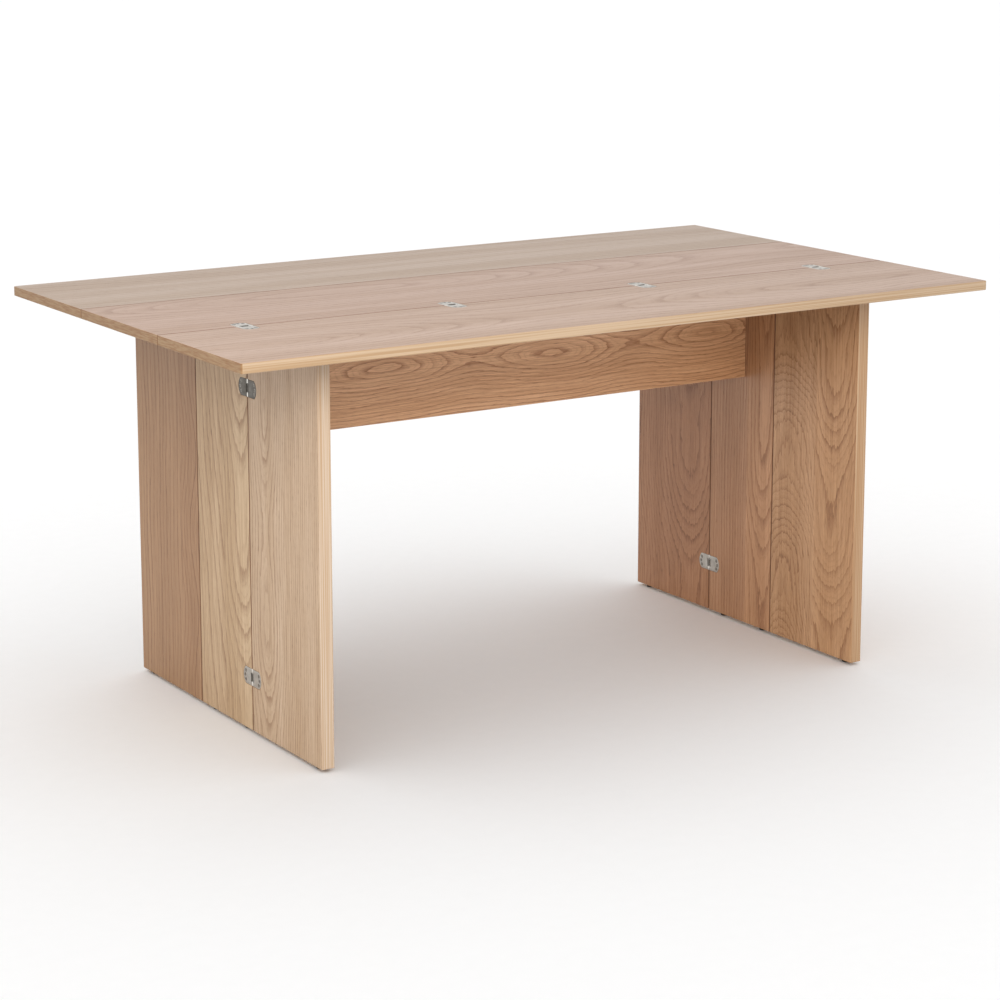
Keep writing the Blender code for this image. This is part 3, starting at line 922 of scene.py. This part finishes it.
@dataclass
class Glides:
    """Nail-in glides under the leg sections, each a turned foot with a stem up into the leg."""

    foot_height: float = 5.7 * MM
    edge: float = 1.8 * MM
    collar: float = 0.5 * MM
    stem_radius: float = 2.9 * MM
    finish: MouldedPlastic = field(default_factory=MouldedPlastic)

    def foot(self, name: str, node: str, material: bpy.types.Material) -> bpy.types.Object:
        """Models a glide where the frame has it.

        Args:
            name: the piece's name.
            node: the frame's node.
            material: its material.

        Returns:
            The finished glide.
        """
        low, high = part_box(node)
        radius, height = (high.x - low.x) / 2, self.foot_height
        centre = (low + high) / 2
        glide = Workpiece(
            name, bpy.ops.mesh.primitive_cylinder_add, vertices=48, radius=radius, depth=height,
            location=(centre.x, centre.y, low.z + height / 2),
        )
        glide.pick("EDGE", lambda edge: all(v.co.z < low.z + TOUCHING for v in edge.verts))
        bpy.ops.mesh.bevel(offset=self.edge, segments=5)
        glide.pick("FACE", lambda face: face.normal.z > FACING)
        bpy.ops.mesh.inset(thickness=self.collar)
        bpy.ops.mesh.inset(thickness=radius - self.collar - self.stem_radius)
        bpy.ops.mesh.extrude_region_move(TRANSFORM_OT_translate={"value": (0, 0, high.z - low.z - height)})
        glide.pick("EDGE", lambda edge: all(abs(v.co.z - low.z - height) < TOUCHING for v in edge.verts)
                   and min((v.co.xy - centre.xy).length for v in edge.verts) > radius - self.collar / 2)
        bpy.ops.mesh.bevel(offset=self.collar, segments=2)
        glide.done()
        glide.smooth()
        glide.obj.data.materials.append(material)
        return glide.obj

    def build(self) -> None:
        """Models every glide, on the body of the section that it is under."""
        material = self.finish.material()
        bodies = frame["record"]["behaviour"]["bodies"]
        for body, nodes in bodies.items():
            for node in [n for n in nodes if "_glide_" in n]:
                made = self.foot(f"{node}_foot", node, material)
                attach(made, body)
                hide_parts(node)
                LOG.info("glide %s", node)


@dataclass
class AngleBrackets:
    """Pressed angles that tie each leg to the board over it, each with four pan-head screws."""

    thickness: float = 3.0 * MM
    bend: float = 3.5 * MM
    corner: float = 6.0 * MM
    hole_radius: float = 2.6 * MM
    hole_inset: float = 26.0 * MM
    head_radius: float = 4.2 * MM
    head_height: float = 2.4 * MM
    head_edge: float = 1.5 * MM
    shank_radius: float = 2.0 * MM
    shank_length: float = 14.0 * MM

    def angle(self, name: str, low: Vector, high: Vector, side: int) -> Workpiece:
        """Models the angle from a sheet that is bent and then given its thickness.

        Args:
            name: the piece's name.
            low: the lowest corner of the frame's bracket.
            high: its highest corner.
            side: -1 on the left leg and 1 on the right one.

        Returns:
            The bent angle, without its holes.
        """
        wall_x = low.x if side < 0 else high.x
        free_x = high.x if side < 0 else low.x
        middle = (low + high) / 2
        sheet = Workpiece(
            name, bpy.ops.mesh.primitive_plane_add, size=1.0, location=(middle.x, middle.y, high.z),
            scale=(high.x - low.x, high.y - low.y, 1.0),
        )
        sheet.pick("EDGE", lambda edge: all(abs(v.co.x - wall_x) < TOUCHING for v in edge.verts))
        bpy.ops.mesh.extrude_region_move(TRANSFORM_OT_translate={"value": (0, 0, low.z - high.z)})
        bend = Vector((wall_x, high.z))
        sheet.pick("EDGE", lambda edge: all((v.co.xz - bend).length < TOUCHING for v in edge.verts))
        bpy.ops.mesh.bevel(offset=self.bend, segments=6)
        sheet.pick("VERT", lambda v: min(abs(v.co.x - free_x), abs(v.co.z - low.z)) < TOUCHING)
        bpy.ops.mesh.bevel(offset=self.corner, segments=5, affect="VERTICES")
        bpy.ops.mesh.select_all(action="SELECT")
        bpy.ops.mesh.normals_make_consistent(inside=False)
        sheet.done()
        up = next(p.normal.z for p in sheet.obj.data.polygons if abs(p.normal.z) > 0.9)
        sheet.modify("SOLIDIFY", thickness=self.thickness, offset=-1.0 if up > 0 else 1.0)
        return sheet

    def hole_places(self, low: Vector, high: Vector, side: int) -> list[Matrix]:
        """The four holes' frames, with Z out of the inner faces of the angle.

        Args:
            low: the lowest corner of the frame's bracket.
            high: its highest corner.
            side: -1 on the left leg and 1 on the right one.

        Returns:
            The holes' frames.
        """
        quarter = (high.y - low.y) / 4
        wall_x = low.x + self.thickness if side < 0 else high.x - self.thickness
        across_x = low.x + self.hole_inset if side < 0 else high.x - self.hole_inset
        down = Matrix.Rotation(math.pi, 4, "X")
        inward = Matrix.Rotation(-side * math.pi / 2, 4, "Y")
        places = []
        for y in (low.y + quarter, high.y - quarter):
            places.append(Matrix.Translation((across_x, y, high.z - self.thickness)) @ down)
            places.append(Matrix.Translation((wall_x, y, high.z - self.hole_inset)) @ inward)
        return places

    def screw(self) -> Workpiece:
        """A pan-head screw with a cross recess, its head standing on the plane of the origin.

        Returns:
            The screw.
        """
        head = Workpiece(
            "pan_head", bpy.ops.mesh.primitive_cylinder_add, vertices=32, radius=self.head_radius,
            depth=self.head_height, location=(0, 0, self.head_height / 2),
        )
        head.pick("EDGE", lambda edge: all(v.co.z > self.head_height - TOUCHING for v in edge.verts))
        bpy.ops.mesh.bevel(offset=self.head_edge, segments=5)
        head.pick("FACE", lambda face: face.normal.z < -FACING)
        bpy.ops.mesh.inset(thickness=self.head_radius - self.shank_radius)
        bpy.ops.mesh.extrude_region_move(TRANSFORM_OT_translate={"value": (0, 0, -self.shank_length)})
        head.done()
        for turn in (0.0, math.pi / 2):
            blade = Workpiece(
                "blade", bpy.ops.mesh.primitive_cube_add, size=1.0, location=(0, 0, self.head_height),
                scale=(4.4 * MM, 0.95 * MM, 2.6 * MM), rotation=(0, 0, turn),
            )
            head.combine(blade, "DIFFERENCE")
        head.smooth()
        return head

    def build(self) -> None:
        """Models both angles with their screws."""
        metal, steel = PRESSED_STEEL.material(), SCREW_STEEL.material()
        screw = self.screw()
        for name, side in (("left", -1), ("right", 1)):
            low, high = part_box(f"{name}_bracket")
            angle = self.angle(f"{name}_angle_bracket", low, high, side)
            places = self.hole_places(low, high, side)
            for place in places:
                hole = Workpiece(
                    "hole", bpy.ops.mesh.primitive_cylinder_add, vertices=24, radius=self.hole_radius,
                    depth=4 * self.thickness,
                )
                hole.obj.data.transform(place)
                angle.combine(hole, "DIFFERENCE")
            angle.ease(0.3 * MM)
            angle.smooth()
            angle.obj.data.materials.append(metal)
            screws = screw.placed(f"{name}_bracket_screws", places, steel)
            for piece in (angle.obj, screws):
                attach(piece, "stand")
            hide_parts(f"{name}_bracket")
            LOG.info("bracket %s", name)
        bpy.data.objects.remove(screw.obj)


@dataclass
class Boards:
    """The veneered boards, each with strips of its own, as cut from different logs."""

    veneers: dict[str, OakVeneer] = field(default_factory=dict)

    def add(self, node: str, cut: Cut, *strips: Strip, ways: tuple[int, ...] = (), **finish) -> None:
        """Adds a board's veneer.

        Args:
            node: the board's name.
            cut: how it is cut.
            *strips: its strips of veneer, from the lowest coordinate across the grain.
            ways: which ways across the grain it faces a seam.
            **finish: the veneer's other values.
        """
        axis = "XYZ".index(cut.value[1])
        across = [corner[axis] / MM for corner in frame["nodes"][node].bound_box]
        seams = tuple((way, max(across) if way > 0 else min(across)) for way in ways)
        seed = 36.0 * len(self.veneers) + 11.0
        self.veneers[node] = OakVeneer(f"oak_{node}", cut, strips, seams, seed, **finish)

    def top(self) -> None:
        """The quiet, pinkish veneer of the top."""
        quiet = {"contrast": 0.27, "edge": "b39b80", "edge_line": "e6dac8", "end": "937552"}
        self.add(
            "front_leaf", Cut.TOP,
            Strip("b19786", -330, 60, slope=0.03, swing=55, period=1500, phase=-500, ring=15, warp=16),
            ways=(1,), **quiet,
        )
        self.add(
            "centre_board", Cut.TOP,
            Strip("b09585", 90, 95, swing=60, period=1900, phase=150, ring=15, warp=18),
            ways=(-1, 1), **quiet,
        )
        self.add(
            "rear_leaf", Cut.TOP,
            Strip("ae9a8a", 620, 150, slope=-0.02, swing=40, period=1300, ring=16, warp=14),
            ways=(-1,), **quiet,
        )

    def legs(self) -> None:
        """The veneer of the legs, with a bolder figure."""
        trim = {"contrast": 0.8, "fibre": "d9cfc3", "pore": "8f7a69", "edge": "c0ae9b", "end": "b8956c"}
        self.add(
            "left_leg_front", Cut.LEG,
            Strip("c8b096", -164, 46, slope=-0.05, swing=9, period=430, phase=310, ring=7.5, warp=6),
            ways=(1,), **trim,
        )
        self.add(
            "left_leg_centre", Cut.LEG,
            Strip("c7ad8c", -74, 110, slope=-0.1, swing=6, period=400, ring=9.5, until=0),
            Strip("c4a988", -50, 170, slope=-0.1, ring=10),
            ways=(-1, 1), **trim,
        )
        self.add(
            "left_leg_rear", Cut.LEG,
            Strip("a6805c", -60, 140, -0.01, swing=16, period=300, phase=100, ring=12, jag=2.5, until=175),
            Strip("a98460", -420, 150, ring=14, warp=14),
            ways=(-1,), **trim,
        )
        self.add(
            "right_leg_front", Cut.LEG,
            Strip("c8a07a", -292, 170, -0.13, swing=5, period=300, ring=7, jag=2.5, warp=10, until=-238),
            Strip("c39c77", -146, 40, slope=0.24, swing=8, period=260, ring=6, jag=3.5, warp=9),
            ways=(1,), **{**trim, "edge": "b49677"},
        )
        self.add(
            "right_leg_centre", Cut.LEG,
            Strip("c19570", -75, 74, slope=-0.07, swing=5, period=500, ring=7.5, warp=8, until=-19),
            Strip("b58a68", 420, 120, ring=9, jag=3),
            ways=(-1, 1), **trim,
        )
        self.add(
            "right_leg_rear", Cut.LEG,
            Strip("ae805d", 172, 130, slope=-0.13, swing=8, period=380, ring=8, jag=3.5, warp=16),
            ways=(-1,), **trim,
        )

    def apron(self) -> None:
        """The apron, in a browner strip with three eyes along it."""
        self.add(
            "apron", Cut.APRON,
            Strip("e8b990", 620, 26, slope=0.02, swing=12, period=372, phase=-169, ring=6.5, warp=9, jag=2.2),
            contrast=0.9, fibre="d9cfc3", pore="8f7a69", edge="c8a47e", end="b8956c",
        )

    def build(self) -> None:
        """Gives every board its veneer."""
        self.top()
        self.legs()
        self.apron()
        for node, veneer in self.veneers.items():
            board = frame["nodes"][node]
            board.data.materials.clear()
            board.data.materials.append(veneer.material())
            LOG.info("board %s", node)


@dataclass
class Studio:
    """A pale floor, a white surround and a soft box, and the camera that looks down the table's length."""

    azimuth: float = -32.5
    elevation: float = 10.81
    lens: float = 98.01
    shift_y: float = -0.13
    camera_at: tuple[float, float, float] = (-2.7586, -4.3183, 1.5704)

    def surround(self) -> None:
        """An even white light from all round."""
        world = bpy.data.worlds.new("white_studio")
        bpy.context.scene.world = world
        world.use_nodes = True
        shader = world.node_tree.nodes["Background"]
        shader.inputs["Color"].default_value = (1.0, 1.0, 1.0, 1.0)
        shader.inputs["Strength"].default_value = 1.06

    def floor(self) -> None:
        """A wide sheet of matt white paper."""
        bpy.ops.object.select_all(action="DESELECT")
        bpy.ops.mesh.primitive_circle_add(vertices=96, radius=40.0, fill_type="NGON")
        paper = bpy.context.object
        paper.name = "paper_floor"
        made, tree, shader = new_material("white_paper")
        place = add_node(tree, "ShaderNodeTexCoord", output="Object")
        tone = blend(tree, noise(tree, place, 30, 2.0), linear("fafafa"), linear("fdfdfd"))
        tree.links.new(tone, shader.inputs["Base Color"])
        shader.inputs["Roughness"].default_value = 0.9
        paper.data.materials.append(made)

    def soft_box(self, name: str, at: tuple[float, ...], size: float, watts: float, colour: str) -> None:
        """A square soft box that faces the middle of the table.

        Args:
            name: the light's name.
            at: its place.
            size: the length of its sides.
            watts: its power.
            colour: its sRGB hex colour.
        """
        light = bpy.data.lights.new(name, "AREA")
        light.shape = "SQUARE"
        light.size = size
        light.energy = watts
        light.color = linear(colour)[:3]
        lamp = bpy.data.objects.new(name, light)
        bpy.context.scene.collection.objects.link(lamp)
        lamp.location = at
        lamp.rotation_euler = (Vector((0, 0, 0.5)) - Vector(at)).to_track_quat("-Z", "Y").to_euler()
        # The soft box lights the table only, so that the paper stays evenly white.
        lit = bpy.data.collections.new(f"{name}_lights")
        for piece in bpy.context.scene.objects:
            if piece.type == "MESH" and piece.name != "paper_floor":
                lit.objects.link(piece)
        lamp.light_linking.receiver_collection = lit

    def camera(self) -> None:
        """The camera, with its lens shifted down so that uprights stay nearly upright."""
        data = bpy.data.cameras.new("camera")
        data.lens = self.lens
        data.sensor_width = 36.0
        data.shift_y = self.shift_y
        data.clip_end = 200.0
        camera = bpy.data.objects.new("camera", data)
        bpy.context.scene.collection.objects.link(camera)
        turn, rise = math.radians(self.azimuth), math.radians(self.elevation)
        back = Vector((math.sin(turn) * math.cos(rise), -math.cos(turn) * math.cos(rise), math.sin(rise)))
        camera.location = self.camera_at
        camera.rotation_euler = (-back).to_track_quat("-Z", "Y").to_euler()
        bpy.context.scene.camera = camera

    def build(self) -> None:
        """Sets up the studio."""
        bpy.context.scene.view_settings.view_transform = "Standard"
        self.surround()
        self.floor()
        self.soft_box("key", (-1.9, -2.6, 2.2), 1.6, 85.0, "fffaf3")
        self.camera()
        LOG.info("studio")


def main() -> None:
    """Builds every sub-assembly in order."""
    logging.basicConfig(level=logging.INFO, format="%(name)s: %(message)s")
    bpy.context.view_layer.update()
    Boards().build()
    # Darker and near-white copies of the nickel paint the shade under the top, the shade in gaps and
    # recesses, and the highlight on the seam chamfers.
    metals = {
        "nickel": SATIN_NICKEL,
        "in_painted_shade": NICKEL_WITH_PAINTED_SHADE,
        "rim": NICKEL_WITH_PAINTED_GAP_SHADE,
        "painted_highlight": NICKEL_WITH_PAINTED_HIGHLIGHT,
        "screw": SCREW_STEEL,
    }
    FlushHinges(finishes={name: metal.material() for name, metal in metals.items()}).build()
    Glides().build()
    AngleBrackets().build()
    Studio().build()


if __name__ == "__main__":
    main()
